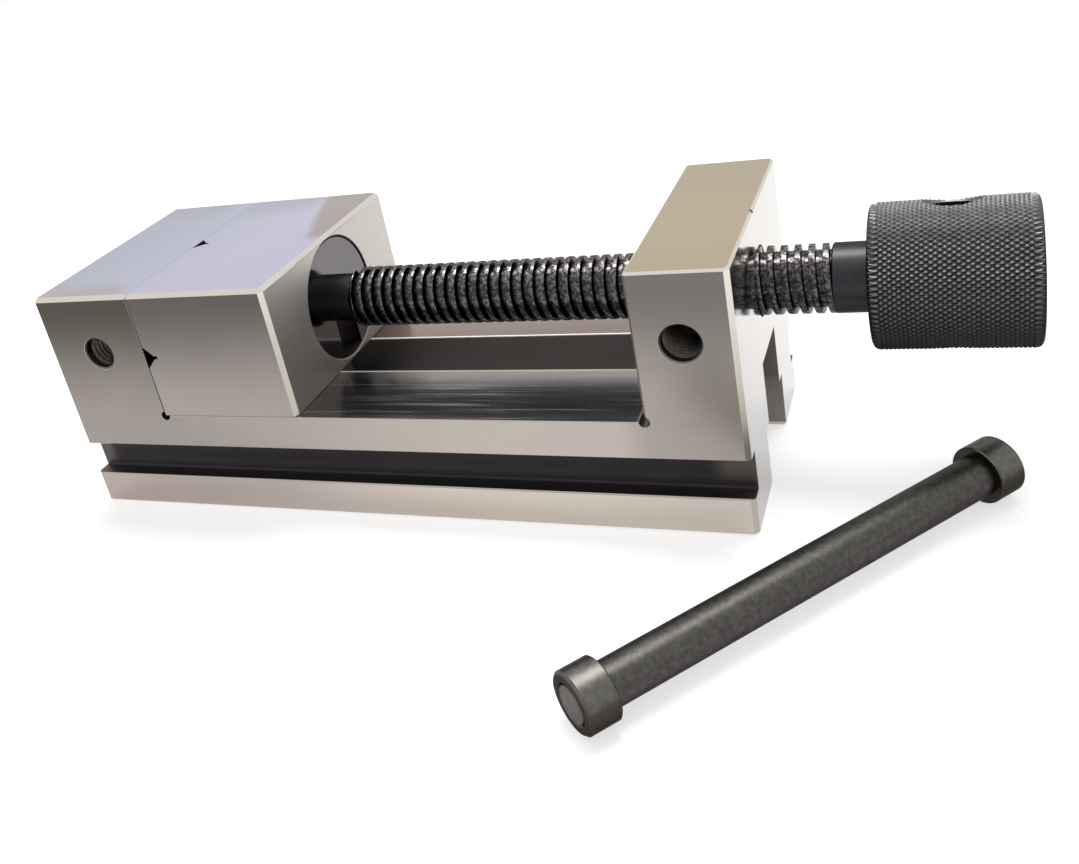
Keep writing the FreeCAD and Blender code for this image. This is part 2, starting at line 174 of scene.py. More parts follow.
class NodeBench:
    """The node tree of a material or a world, with the few ways that the finishes add to it."""

    def __init__(self, owner: bpy.types.Material | bpy.types.World) -> None:
        """Empties the owner's tree.

        Args:
            owner: The material or world whose tree it is.
        """
        self.owner = owner
        self.owner.use_nodes = True
        self.tree = self.owner.node_tree
        self.tree.nodes.clear()

    def node(self, kind: str, settings: Mapping[str, object] | None = None,
             inputs: Mapping[int | str, object] | None = None) -> bpy.types.Node:
        """Adds a node, sets it up and joins it.

        Args:
            kind: The node's type.
            settings: Its own settings, which are set first.
            inputs: Values or links for its sockets, by index or name.

        Returns:
            The new node.
        """
        node = self.tree.nodes.new(kind)
        for key, value in (settings or {}).items():
            setattr(node, key, value)
        for key, value in (inputs or {}).items():
            self.join(node.inputs[key], value)
        return node

    def join(self, socket: bpy.types.NodeSocket, value: object) -> None:
        """Links a wire or socket to a node's input, or sets a plain value on it.

        Args:
            socket: The node's input.
            value: A wire, a socket, a colour, a vector or a number.
        """
        if isinstance(value, Wire):
            self.tree.links.new(value.socket, socket)
        elif isinstance(value, bpy.types.NodeSocket):
            self.tree.links.new(value, socket)
        elif socket.type == "RGBA":
            socket.default_value = (*value, 1.0)
        else:
            socket.default_value = value

    def split(self, vector: bpy.types.NodeSocket) -> tuple[Wire, Wire, Wire]:
        """The three parts of a vector."""
        node = self.node("ShaderNodeSeparateXYZ", inputs={0: vector})
        return tuple(Wire(self, output) for output in node.outputs)

    def place(self) -> bpy.types.NodeSocket:
        """Where a point lies in the part's frame."""
        return self.node("ShaderNodeTexCoord").outputs["Object"]

    def facing(self) -> tuple[Wire, Wire, Wire]:
        """The three parts of the surface's direction in the part's frame."""
        return self.split(self.node("ShaderNodeTexCoord").outputs["Normal"])

    def upward(self) -> Wire:
        """How far the surface looks up, from minus one to one, however its piece is turned."""
        return self.split(self.node("ShaderNodeNewGeometry").outputs["Normal"])[2]

    def noise(self, stretch: Triple, detail: float = 2.0, roughness: float = 0.5) -> Wire:
        """A noise from nought to one.

        Args:
            stretch: Lumps per metre along each axis.
            detail: Finer layers on top.
            roughness: How strong the finer layers are.

        Returns:
            The noise's value.
        """
        settings = {"operation": "MULTIPLY"}
        scaled = self.node("ShaderNodeVectorMath", settings, {0: self.place(), 1: stretch})
        inputs = {"Vector": scaled.outputs[0], "Scale": 1.0, "Detail": detail,
                  "Roughness": roughness}
        return Wire(self, self.node("ShaderNodeTexNoise", {}, inputs).outputs[0])

    def mix(self, share: Number, first: Paint, second: Paint) -> bpy.types.NodeSocket:
        """Two colours mixed by a share of the second."""
        settings = {"data_type": "RGBA", "blend_type": "MIX", "clamp_factor": True}
        return self.node("ShaderNodeMix", settings, {0: share, 6: first, 7: second}).outputs[2]

    def bump(self, height: Number, depth: float) -> bpy.types.NodeSocket:
        """A surface direction bent by a height from nought to one, over a depth in metres."""
        inputs = {"Height": height, "Distance": depth, "Strength": 1.0}
        return self.node("ShaderNodeBump", {}, inputs).outputs[0]

    def finish(self, inputs: Mapping[str, object]) -> bpy.types.Material:
        """Ends a material's tree in a Principled shader.

        Args:
            inputs: Values or links for the shader's sockets, by name.

        Returns:
            The finished material.
        """
        shader = self.node("ShaderNodeBsdfPrincipled", {}, inputs)
        self.node("ShaderNodeOutputMaterial", {}, {"Surface": shader.outputs[0]})
        return self.owner


# Finishes

NOISE_MIDDLE = 0.5
FINE_DEPTH = 0.003 * MM
BLACK = (0.0, 0.0, 0.0)
WHITE = (1.0, 1.0, 1.0)


@dataclass(frozen=True)
class Fade:
    """Two tones and the stretch of the part, in mm, over which one turns into the other."""

    first: Colour
    second: Colour
    start: float
    end: float
    heading: Triple = Axis.Z.value
    wander: float = 0.0

    def paint(self, bench: NodeBench, clouds: Wire) -> bpy.types.NodeSocket:
        """Mixes the tones by place.

        Args:
            bench: The material's bench.
            clouds: A slow noise that the fade wanders by.

        Returns:
            The mixed colour.
        """
        settings = {"operation": "DOT_PRODUCT"}
        node = bench.node("ShaderNodeVectorMath", settings, {0: bench.place(), 1: self.heading})
        value = Wire(bench, node.outputs[1]) + (clouds - NOISE_MIDDLE) * (self.wander * MM)
        return bench.mix(value.ramp(self.start * MM, self.end * MM), self.first, self.second)


def even(tone: Colour) -> Fade:
    """One tone all over."""
    return Fade(tone, tone, 0, 1)


@dataclass(frozen=True)
class Zone:
    """A part of a ground block with its own painted tone, which stands for the reflections, light
    and shade on those faces, and its own scratches: faces that look one way in a box, in mm.
    """

    side: Axis | None
    low: Triple
    high: Triple
    fade: Fade
    roughness: float = 0.16
    scratches: float = 0.12
    scratch_tone: Colour = (0.05, 0.045, 0.04)
    scratch_dull: float = 0.0
    grain: Grain = Grain.FINE
    margin: Triple = (0.02, 0.02, 0.02)
    facing_edge: Pair = (0.75, 0.9)

    def mask(self, bench: NodeBench) -> Wire:
        """Finds the zone's faces.

        Args:
            bench: The material's bench.

        Returns:
            One on the zone's faces, else nought, rising over the margin inside the box.
        """
        cover = 1.0
        parts = bench.split(bench.place())
        for part, low, high, margin in zip(parts, self.low, self.high, self.margin):
            for edge, inward in ((low, 1.0), (high, -1.0)):
                if abs(edge) < FAR:
                    cover = ((part - edge * MM) * inward).ramp(0.0, margin * MM) * cover
        if self.side:
            facing = bench.facing()[list(Axis).index(self.side)]
            cover = abs(facing).ramp(*self.facing_edge) * cover
        return cover


def side_zone(low: Triple, high: Triple, fade: Fade, margin: Triple = Zone.margin) -> Zone:
    """A zone of the long sides, which are fairly dull and have few scratches; its tone paints their
    reflections.
    """
    return Zone(Axis.Y, low, high, fade, roughness=0.3, scratches=0.06, margin=margin)


def top_zone(low: Triple, high: Triple, fade: Fade, margin: Triple = Zone.margin) -> Zone:
    """A zone of the finely ground top faces, whose tone paints their reflections."""
    return Zone(Axis.Z, low, high, fade, scratches=0.05, margin=margin)


def painted_shading_zone(low: Triple, high: Triple, fade: Fade, margin: Triple = Zone.margin) -> Zone:
    """A zone of painted shade such as a groove, a hole or a seam, whichever way its faces look; a
    few of them paint light instead.
    """
    return Zone(None, low, high, fade, roughness=0.45, margin=margin)


@dataclass(frozen=True)
class GroundSteel:
    """Surface-ground tool steel: fine straight scratches, and for each zone a tone that paints its
    reflections, light and shade.
    """

    name: str
    zones: tuple[Zone, ...]
    # Chamfers and faces outside every zone: a painted highlight, lighter towards the top.
    edge: Fade = Fade((0.42, 0.385, 0.33), (0.66, 0.62, 0.56), 20, 62, wander=30)
    edge_roughness: float = 0.3
    cloud_rate: float = 30.0
    scratch_edge: Pair = (0.45, 0.8)
    end_edge: Pair = (0.4, 0.6)
    roughness_swing: float = 0.16

    def material(self) -> bpy.types.Material:
        """Lays the zones over one another, with the scratches on each.

        Returns:
            The steel's material.
        """
        bench = NodeBench(bpy.data.materials.new(self.name))
        clouds = bench.noise((self.cloud_rate,) * 3)
        streaks = {grain: self.streaks(bench, grain) for grain in Grain}
        tone, roughness = self.edge.paint(bench, clouds), self.edge_roughness
        for zone in self.zones:
            mask = zone.mask(bench)
            scratch = streaks[zone.grain].ramp(*self.scratch_edge) * zone.scratches
            worn = bench.mix(scratch, zone.fade.paint(bench, clouds), zone.scratch_tone)
            tone = bench.mix(mask, tone, worn)
            dull = scratch * zone.scratch_dull + zone.roughness
            roughness = roughness * (1.0 - mask) + mask * dull
        inputs = {
            "Base Color": tone,
            "Metallic": 1.0,
            "Roughness": (streaks[Grain.FINE] - NOISE_MIDDLE) * self.roughness_swing + roughness,
            "Normal": bench.bump(streaks[Grain.FINE], FINE_DEPTH),
        }
        return bench.finish(inputs)

    def streaks(self, bench: NodeBench, grain: Grain) -> Wire:
        """Grinding scratches along X, and across on the end faces.

        Args:
            bench: The material's bench.
            grain: How dense they are.

        Returns:
            Their height, from nought to one.
        """
        along_it, across_it = grain.value
        lengthways = bench.noise((along_it, across_it, across_it), detail=3.0, roughness=0.7)
        crossways = bench.noise((across_it, along_it, across_it), detail=3.0, roughness=0.7)
        on_end = abs(bench.facing()[0]).ramp(*self.end_edge)
        return lengthways * (1.0 - on_end) + crossways * on_end


@dataclass(frozen=True)
class RootShade:
    """Painted shade in the roots of a turned or rolled surface: how it darkens from its crests down
    to its roots, in metres.
    """

    axis_height: float
    root: float
    crest: float
    root_shade_share: float = 0.6


@dataclass(frozen=True)
class DarkSteel:
    """Blackened steel, dry or oiled, faintly mottled: one tone on faces that look up and another on
    faces that look down, which paints light on the upper side and shade on the lower side where
    they differ.

    Turn says how far up a surface looks where the painted shade below gives way to the painted
    light above, and rim how strongly it shines at a grazing angle.
    """

    name: str
    above: Colour
    below: Colour
    roughness: float
    mottle: float = 0.25
    oil: float = 0.0
    oil_roughness: float = 0.05
    lumps: float = 700.0
    lump_edge: Pair = (0.25, 0.75)
    roughness_swing: float = 0.12
    grain: float = 2500.0
    grain_depth: float = FINE_DEPTH
    turn: Pair = (-0.35, 0.75)
    rim: Colour = (0.45, 0.45, 0.45)
    root_shade: RootShade | None = None

    def material(self) -> bpy.types.Material:
        """Mixes the two tones by how far up the surface looks, and mottles them.

        Returns:
            The blackened steel's material.
        """
        bench = NodeBench(bpy.data.materials.new(self.name))
        lumps = bench.noise((self.lumps,) * 3, detail=4.0, roughness=0.6)
        grain = bench.noise((self.grain,) * 3, roughness=0.6)
        # Painted light and shade: the tone above on faces that look up, the tone below on faces
        # that look down.
        tone = bench.mix(bench.upward().ramp(*self.turn), self.below, self.above)
        share = lumps.ramp(*self.lump_edge) * self.mottle + (1.0 - self.mottle)
        # Painted shade in the roots of the thread or the knurl.
        if self.root_shade:
            share = share * self.crest_share(bench)
        inputs = {
            "Base Color": bench.mix(share, BLACK, tone),
            "Metallic": 1.0,
            "Specular Tint": self.rim,
            "Roughness": (lumps - NOISE_MIDDLE) * self.roughness_swing + self.roughness,
            "Coat Weight": self.oil,
            "Coat Roughness": self.oil_roughness,
            "Normal": bench.bump(grain, self.grain_depth),
        }
        return bench.finish(inputs)

    def crest_share(self, bench: NodeBench) -> Wire:
        """The painted root shade: how light the surface is for its distance from the piece's axis.

        Args:
            bench: The material's bench.

        Returns:
            The root's share at the root, rising to one at the crest.
        """
        _, y, z = bench.split(bench.place())
        z = z - self.root_shade.axis_height
        radius = (y * y + z * z) ** 0.5
        low = self.root_shade.root_shade_share
        return radius.ramp(self.root_shade.root, self.root_shade.crest) * (1.0 - low) + low


@dataclass(frozen=True)
class TurnedMetal:
    """Plain machined metal of an inner piece."""

    name: str
    colour: Colour
    roughness: float = 0.3
    rings: Triple = (3200.0, 500.0, 500.0)
    ring_edge: Pair = (0.3, 0.8)
    ring_share: float = 0.6
    roughness_swing: float = 0.2

    def material(self) -> bpy.types.Material:
        """Darkens the colour in fine turning rings.

        Returns:
            The machined metal's material.
        """
        bench = NodeBench(bpy.data.materials.new(self.name))
        rings = bench.noise(self.rings)
        dark = tuple(self.ring_share * part for part in self.colour)
        inputs = {
            "Base Color": bench.mix(rings.ramp(*self.ring_edge), self.colour, dark),
            "Metallic": 1.0,
            "Roughness": self.roughness + (rings - NOISE_MIDDLE) * self.roughness_swing,
            "Normal": bench.bump(rings, FINE_DEPTH),
        }
        return bench.finish(inputs)


# Mesh making

MERGE_GAP = 1e-7
TRIM_GAP = 1e-9
FIT_GAP = 0.01 * MM
FINE_STEPS = 96
BORE_STEPS = 64
PIN_STEPS = 32


def placed(mesh: bmesh.types.BMesh, name: str) -> bpy.types.Object:
    """Makes a plain object at the origin.

    Args:
        mesh: The bmesh that it is made of, which is freed.
        name: The object's name.

    Returns:
        The new object.
    """
    data = bpy.data.meshes.new(name)
    mesh.to_mesh(data)
    mesh.free()
    piece = bpy.data.objects.new(name, data)
    bpy.context.scene.collection.objects.link(piece)
    return piece


def faired(mesh: bmesh.types.BMesh, name: str, crease: float = 32.0) -> bpy.types.Object:
    """Turns a finished bmesh into an object at the origin, smooth but for its creases.

    Args:
        mesh: The finished bmesh, which is freed.
        name: The piece's name.
        crease: The angle in degrees past which an edge stays sharp.

    Returns:
        The new object.
    """
    for face in mesh.faces:
        face.smooth = True
    for edge in mesh.edges:
        edge.smooth = len(edge.link_faces) != 2 or edge.calc_face_angle(0.0) < math.radians(crease)
    return placed(mesh, name)


def lathe(profile: Profile, steps: int) -> bmesh.types.BMesh:
    """Turns an open outline about the X axis into a closed shape.

    Args:
        profile: (place along X, radius) pairs; ends at radius nought close as poles.
        steps: Sides round the axis.

    Returns:
        The turned bmesh.
    """
    mesh = bmesh.new()
    points = [mesh.verts.new((x, 0.0, radius)) for x, radius in profile]
    edges = [mesh.edges.new(pair) for pair in zip(points, points[1:])]
    bmesh.ops.spin(mesh, geom=points + edges, cent=(0, 0, 0), axis=Axis.X.value, dvec=(0, 0, 0),
                   angle=FULL_TURN, steps=steps, use_merge=True)
    bmesh.ops.remove_doubles(mesh, verts=mesh.verts, dist=MERGE_GAP)
    bmesh.ops.recalc_face_normals(mesh, faces=mesh.faces)
    return mesh


def coil(section: Profile, pitch: float, turns: int, steps: int) -> bmesh.types.BMesh:
    """Winds a closed section round the X axis into a right-hand helix with closed ends.

    Args:
        section: (place along X, radius) corners of the closed section.
        pitch: Travel along X in one turn.
        turns: Number of turns.
        steps: Sides in one turn.

    Returns:
        The wound bmesh, which starts at X nought.
    """
    mesh = bmesh.new()
    points = [mesh.verts.new((x, 0.0, radius)) for x, radius in section]
    edges = [mesh.edges.new(pair) for pair in zip(points, points[1:] + points[:1])]
    bmesh.ops.spin(mesh, geom=points + edges, cent=(0, 0, 0), axis=Axis.X.value,
                   dvec=(pitch / steps, 0, 0), angle=FULL_TURN, steps=steps)
    one_turn = [*mesh.verts, *mesh.edges, *mesh.faces]
    for count in range(1, turns):
        copy = bmesh.ops.duplicate(mesh, geom=one_turn)["geom"]
        verts = [item for item in copy if isinstance(item, bmesh.types.BMVert)]
        bmesh.ops.translate(mesh, vec=(count * pitch, 0, 0), verts=verts)
    bmesh.ops.remove_doubles(mesh, verts=mesh.verts, dist=MERGE_GAP)
    bmesh.ops.edgeloop_fill(mesh, edges=[edge for edge in mesh.edges if edge.is_boundary])
    bmesh.ops.recalc_face_normals(mesh, faces=mesh.faces)
    return mesh


def limit_radius(mesh: bmesh.types.BMesh, limit: Callable[[float], float]) -> None:
    """Pulls in the points that lie too far from the X axis.

    Args:
        mesh: The bmesh whose points move.
        limit: Gives the largest radius at a place along X.
    """
    for vert in mesh.verts:
        radius = math.hypot(vert.co.y, vert.co.z)
        allowed = limit(vert.co.x)
        if radius > allowed:
            vert.co.y *= allowed / radius
            vert.co.z *= allowed / radius


def join(meshes: Sequence[bmesh.types.BMesh]) -> bmesh.types.BMesh:
    """Puts several bmeshes into one.

    Args:
        meshes: The bmeshes; all but the first are freed.

    Returns:
        The first one, which holds them all.
    """
    first = meshes[0]
    for other in meshes[1:]:
        data = bpy.data.meshes.new("joined")
        other.to_mesh(data)
        other.free()
        first.from_mesh(data)
        bpy.data.meshes.remove(data)
    return first


def cut(mesh: bmesh.types.BMesh, cutter: bmesh.types.BMesh) -> bmesh.types.BMesh:
    """Takes one closed bmesh out of another.

    Args:
        mesh: The bmesh that is cut, which is freed.
        cutter: The bmesh that is taken out, which is freed.

    Returns:
        A new bmesh of what is left.
    """
    blank = placed(mesh, "blank")
    tool = placed(cutter, "tool")
    modifier = blank.modifiers.new("cut", "BOOLEAN")
    modifier.operation = "DIFFERENCE"
    modifier.solver = "MANIFOLD"
    modifier.object = tool
    bpy.context.view_layer.update()
    shaped = blank.evaluated_get(bpy.context.evaluated_depsgraph_get())
    result = bmesh.new()
    result.from_mesh(shaped.to_mesh())
    shaped.to_mesh_clear()
    for used in (blank, tool):
        data = used.data
        bpy.data.objects.remove(used)
        bpy.data.meshes.remove(data)
    return result


def middle(node: str) -> Vector:
    """The middle of a node's box."""
    low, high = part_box(node)
    return (low + high) / 2


def half_height(node: str) -> float:
    """Half a node's height, which is the radius of a round one that lies flat."""
    low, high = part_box(node)
    return (high.z - low.z) / 2


def ends(node: str) -> Pair:
    """Where a node begins and ends along X."""
    low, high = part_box(node)
    return low.x, high.x


def along(start: Vector, heading: Vector) -> Matrix:
    """The transform that takes the X axis from the origin to a start point and a heading."""
    turn = Vector(Axis.X.value).rotation_difference(heading)
    return Matrix.Translation(start) @ turn.to_matrix().to_4x4()


def seat(piece: bpy.types.Object, material: bpy.types.Material, body: Body) -> bpy.types.Object:
    """Gives a new piece its material and its body.

    Args:
        piece: The new piece.
        material: Its material.
        body: The body that it rides on.

    Returns:
        The same piece.
    """
    piece.data.materials.append(material)
    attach(piece, body.value)
    LOG.info("%s rides on %s with %d faces", piece.name, body.value, len(piece.data.polygons))
    return piece


def dress(node: str, material: bpy.types.Material) -> None:
    """Gives a CAD node its material.

    Args:
        node: The node's name.
        material: Its material.
    """
    for slot in frame["nodes"][node].material_slots:
        slot.material = material
    LOG.info("%s is dressed in %s", node, material.name)


# Sub-assemblies

# Painted reflections on the top faces: lilac, grey and cream tones mirrored from the surroundings.
LILAC_TOP_REFLECTION = Fade((0.33, 0.36, 0.45), (0.48, 0.465, 0.61), -32, 24, (0.97, -0.22, 0.0), wander=14)
GREY_TOP_REFLECTION = Fade((0.31, 0.30, 0.36), (0.36, 0.35, 0.39), -20, 30, Axis.X.value, wander=20)
CREAM_TOP_REFLECTION = Fade((0.40, 0.34, 0.30), (0.36, 0.33, 0.33), -30, 0, Axis.X.value, wander=10)
# Near-white tone of the near way's real scratches, painted bright as glints.
SCRATCH_GLINT = (0.92, 0.90, 0.88)
HOLE_SHADE = Fade((0.20, 0.18, 0.16), (0.05, 0.045, 0.04), 39, 46)
GROOVE_SHADE = Fade((0.085, 0.075, 0.085), (0.030, 0.027, 0.029), 9, 13)
# Painted light in the grooves: lighter at their ends and along a line low in the near groove.
GROOVE_END_LIGHT = even((0.095, 0.083, 0.076))
GROOVE_LINE_LIGHT = even((0.16, 0.145, 0.16))
SEAM_SHADE = Fade((0.03, 0.028, 0.027), (0.09, 0.08, 0.074), 43, 57)
# Painted highlight along the inner edges of the ways.
EDGE_HIGHLIGHT = even((0.95, 0.91, 0.86))


@dataclass
class GroundBlocks:
    """Vise body and moving jaw, with the threads of the tapped side holes.

    Foot and crest share say where one thread's outline begins and where its crest begins, as
    shares of the pitch.
    """

    hole_pitch: float = 1.25 * MM
    thread_depth: float = 0.62 * MM
    thread_cover: float = 0.04 * MM
    foot_share: float = 0.02
    crest_share: float = 0.44
    mouth_depth: float = 0.45 * MM
    steps: int = 40
    body_steel: GroundSteel = GroundSteel("ground_steel_body", (
        # End faces: painted light, lighter towards the top and the back.
        Zone(Axis.X, ALL_LOW, ALL_HIGH,
             Fade((0.33, 0.31, 0.30), (0.45, 0.42, 0.395), 0, 36, (0.0, 0.45, 0.9), wander=6),
             roughness=0.10),
        # Long sides: painted reflections, lighter towards the knob and on the foot, darker towards
        # the top of the left block and the upright.
        side_zone(ALL_LOW, ALL_HIGH,
                  Fade((0.292, 0.261, 0.242), (0.42, 0.378, 0.338), -12, 90, Axis.X.value,
                       wander=20)),
        side_zone((-FAR, -FAR, 16), (8, FAR, FAR),
                  Fade((0.285, 0.255, 0.235), (0.080, 0.069, 0.060), 24, 58, wander=6),
                  margin=(8, 8, 8)),
        side_zone((114, -FAR, 10), ALL_HIGH,
                  Fade((0.335, 0.30, 0.27), (0.155, 0.142, 0.133), 30, 56, wander=6),
                  margin=(8, 8, 8)),
        Zone(Axis.Y, ALL_LOW, (FAR, FAR, 9),
             Fade((0.425, 0.36, 0.33), (0.56, 0.505, 0.45), -30, 110, Axis.X.value, wander=20),
             roughness=0.3, scratches=0.08),
        # Top faces: painted reflections in lilac, grey, cream and beige.
        top_zone(ALL_LOW, (1, FAR, FAR), LILAC_TOP_REFLECTION),
        top_zone((-FAR, 14, 50), (1, FAR, FAR), GREY_TOP_REFLECTION, margin=(14, 14, 14)),
        top_zone((-FAR, -FAR, 50), (1, -21, FAR), CREAM_TOP_REFLECTION, margin=(8, 8, 8)),
        top_zone((118, -FAR, 30), ALL_HIGH,
                 Fade((0.45, 0.365, 0.235), (0.39, 0.32, 0.20), -10, 30, Axis.Y.value, wander=20)),
        # Ways: painted reflections that change tone along the part and across it; the near way's
        # real scratches carry a painted glint.
        Zone(Axis.Z, (0, -FAR, 10), (122, -8, 30),
             Fade((0.40, 0.385, 0.40), (0.27, 0.26, 0.28), 10, 110, Axis.X.value),
             roughness=0.2, scratches=0.3, scratch_tone=SCRATCH_GLINT, scratch_dull=0.5,
             grain=Grain.COARSE),
        Zone(Axis.Z, (36, -31, 10), (96, -8, 30),
             Fade((0.40, 0.385, 0.40), (0.30, 0.29, 0.31), 10, 110, Axis.X.value),
             roughness=0.2, scratches=1.0, scratch_tone=SCRATCH_GLINT, scratch_dull=0.6,
             grain=Grain.COARSE, margin=(14, 14, 14)),
        Zone(Axis.Z, (0, -15, 10), (122, FAR, 30),
             Fade((0.46, 0.45, 0.43), (0.58, 0.47, 0.34), 25, 95, Axis.X.value),
             roughness=0.4, scratches=0.35, margin=(6, 6, 6)),
        Zone(Axis.Z, (0, 8, 10), (122, FAR, 30),
             Fade((0.25, 0.195, 0.165), (0.345, 0.28, 0.24), 8, 31, Axis.Y.value, wander=8),
             roughness=0.2),
        # Painted highlights along the ways' inner edges.
        Zone(None, (0, -9.45, 26.2), (122, -8.7, 27.2), EDGE_HIGHLIGHT, roughness=0.75),
        Zone(None, (0, 8.7, 26.2), (122, 9.3, 27.2), EDGE_HIGHLIGHT, roughness=0.75),
        # Painted shade in the slot, lighter towards its top, and in the channel under it.
        painted_shading_zone((-29, -8.83, 0.7), (140.8, 8.83, 26.3),
                   Fade((0.17, 0.155, 0.15), (0.25, 0.235, 0.23), 12, 26)),
        Zone(None, (-29, -12.6, 0.7), (140.8, 12.6, 14.9), even((0.22, 0.195, 0.18)),
             roughness=0.5),
        # Painted shade in the side grooves, with painted light at their ends and along a line low
        # in the near groove.
        painted_shading_zone((-FAR, -31.15, 8.6), (FAR, -27.1, 17.8), GROOVE_SHADE),
        painted_shading_zone((-FAR, 27.1, 8.6), (FAR, 31.15, 17.8), GROOVE_SHADE),
        painted_shading_zone((-FAR, -31.15, 8.6), (-24, -27.1, 17.8), GROOVE_END_LIGHT, (3.0, 0.02, 0.02)),
        painted_shading_zone((131, -31.15, 8.6), (FAR, -27.1, 17.8), GROOVE_END_LIGHT, (5.0, 0.02, 0.02)),
        painted_shading_zone((-FAR, -27.7, 8.6), (FAR, -27.1, 9.25), GROOVE_LINE_LIGHT),
        # Painted shade in the holes, at the seam between the jaws and at a small spot on the
        # upright's top edge; painted reflection on the top of the clamping face.
        painted_shading_zone((-18.4, -31.45, 39.5), (-9.4, 31.45, 48.5), HOLE_SHADE),
        painted_shading_zone((125.7, -31.45, 39.5), (134.7, 31.45, 48.5), HOLE_SHADE),
        painted_shading_zone((119.0, -31.3, 24.0), (122.4, 31.3, 28.2), HOLE_SHADE),
        painted_shading_zone((-0.14, -FAR, 27.8), (0.02, -31.2, 58.6), SEAM_SHADE),
        painted_shading_zone((-0.14, 31.2, 27.8), (0.02, FAR, 58.6), SEAM_SHADE),
        Zone(None, (-0.3, -30.9, 59.1), (0.5, FAR, FAR), LILAC_TOP_REFLECTION, scratches=0.05),
        painted_shading_zone((140.2, -2.4, 58.7), (141.2, -1.2, 59.4), SEAM_SHADE),
    ))
    jaw_steel: GroundSteel = GroundSteel("ground_steel_jaw", (
        # Back face: painted light, lighter towards the top.
        Zone(Axis.X, ALL_LOW, ALL_HIGH,
             Fade((0.29, 0.265, 0.235), (0.60, 0.57, 0.53), 23, 48, (0.0, 0.30, 0.95), wander=6),
             roughness=0.55),
        # Sides: painted reflection, darker towards the top.
        side_zone(ALL_LOW, ALL_HIGH,
                  Fade((0.325, 0.29, 0.265), (0.108, 0.098, 0.093), 27, 58, wander=6)),
        # Tops: painted reflections in lilac, grey and pink.
        top_zone(ALL_LOW, ALL_HIGH, LILAC_TOP_REFLECTION),
        top_zone((-FAR, 14, 50), (34, FAR, FAR), GREY_TOP_REFLECTION, margin=(14, 14, 14)),
        top_zone((20, -4, 50), ALL_HIGH,
                 Fade(LILAC_TOP_REFLECTION.second, (0.33, 0.27, 0.26), 29.5, 33, (0.956, 0.294, 0.0),
                      wander=6),
                 margin=(6, 6, 6)),
        # Painted shade at the seam and in the retainer's pocket; painted reflection on the top of
        # the clamping face.
        painted_shading_zone(ALL_LOW, (0.2, -31.2, 58.6), SEAM_SHADE),
        painted_shading_zone((-FAR, 31.2, -FAR), (0.2, FAR, 58.6), SEAM_SHADE),
        Zone(None, (-FAR, -30.9, 59.1), (0.5, FAR, FAR), LILAC_TOP_REFLECTION, scratches=0.05),
        painted_shading_zone((26, -15.7, 27), (38.53, 15.7, 58.4), HOLE_SHADE),
    ))
    # Painted shade: the hole threads are made dark for the shade inside the holes.
    shaded_thread_steel: TurnedMetal = TurnedMetal("tapped_thread_painted_shade", (0.07, 0.063, 0.058), 0.35)

    def build(self) -> None:
        """Dresses both blocks and threads every tapped hole of the record."""
        dress("vise_body", self.body_steel.material())
        dress("moving_jaw", self.jaw_steel.material())
        material = self.shaded_thread_steel.material()
        for mount in frame["record"]["mounts"]:
            if mount["kind"] == "threaded_hole":
                self.thread_hole(mount, material)

    def thread_hole(self, mount: Mapping[str, object], material: bpy.types.Material) -> None:
        """Winds the thread of one tapped hole.

        Args:
            mount: The hole's entry in the record.
            material: The thread's material.
        """
        radius = mount["dims"]["r_mm"] * MM
        length = mount["dims"]["length_mm"] * MM
        pitch = self.hole_pitch
        rising = [(self.foot_share, radius + self.thread_cover), (self.foot_share, radius),
                  (self.crest_share, radius - self.thread_depth)]
        falling = [(1 - share, height) for share, height in reversed(rising)]
        section = [(share * pitch, height) for share, height in rising + falling]
        turns = int((length - self.mouth_depth) / pitch) - 1
        mesh = coil(section, pitch, turns, self.steps)
        outward = Vector(mount["axis"])
        mouth = Vector(mount["pos_m"]) + outward * (length / 2 - self.mouth_depth)
        bmesh.ops.transform(mesh, matrix=along(mouth, -outward), verts=mesh.verts)
        name = mount["name"].replace("tapped_hole", "hole_thread")
        seat(faired(mesh, name), material, Body.BASE)


